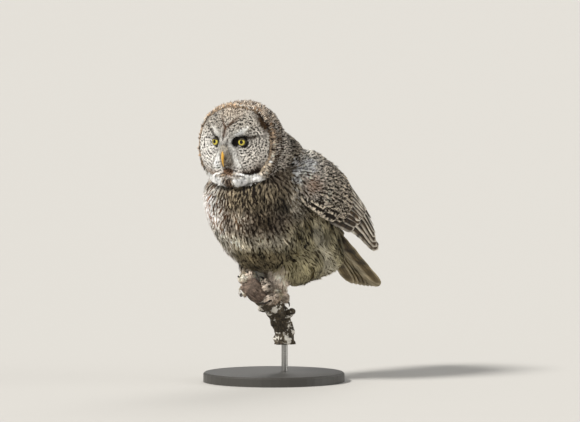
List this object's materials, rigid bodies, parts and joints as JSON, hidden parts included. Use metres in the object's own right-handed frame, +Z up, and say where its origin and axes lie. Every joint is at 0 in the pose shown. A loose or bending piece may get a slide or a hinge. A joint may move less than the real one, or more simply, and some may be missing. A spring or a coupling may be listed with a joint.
{
  "type": "great grey owl",
  "caption": "Life-size still model of a perched owl with a broad round facial disc, folded wings and feathered feet on a short branch held over a round display base.",
  "frame": {"origin": "middle of the underside of the round display base, on the surface it stands on", "axes": "+Z up; the owl's breast faces -Y and its left side is +X; the face is turned 10 degrees to the owl's left"},
  "size_m": [0.27, 0.4776, 0.5386],
  "materials": {
    "plumage": "soft barred and flecked body feathers, grey, brown and off-white",
    "wing_feathers": "brown wing and tail feathers with paler bars and edges",
    "leg_feathers": "short buff-white feathers with brown flecks",
    "claw": "black polished horn",
    "eye": "glossy yellow iris with a black pupil",
    "bill": "waxy yellow horn",
    "branch": "dark rough bark with pale lichen and bare wood at the broken end",
    "stand": "satin dark paint",
    "rod": "brushed"
  },
  "bodies": {
    "root": {"head": "plumage", "neck": "plumage", "torso": "plumage", "wing_left": "wing_feathers", "wing_right": "wing_feathers", "tail": "wing_feathers", "leg_left": "leg_feathers", "leg_right": "leg_feathers", "foot_left": "leg_feathers", "foot_right": "leg_feathers", "talon_left_inner": "claw", "talon_left_middle": "claw", "talon_left_outer": "claw", "talon_left_hind": "claw", "talon_right_inner": "claw", "talon_right_middle": "claw", "talon_right_outer": "claw", "talon_right_hind": "claw", "eye_left": "eye", "eye_right": "eye", "bill_upper": "bill", "bill_lower": "bill", "perch": "branch", "stand_base": "stand", "stand_rod": "rod"}
  },
  "joints": []
}
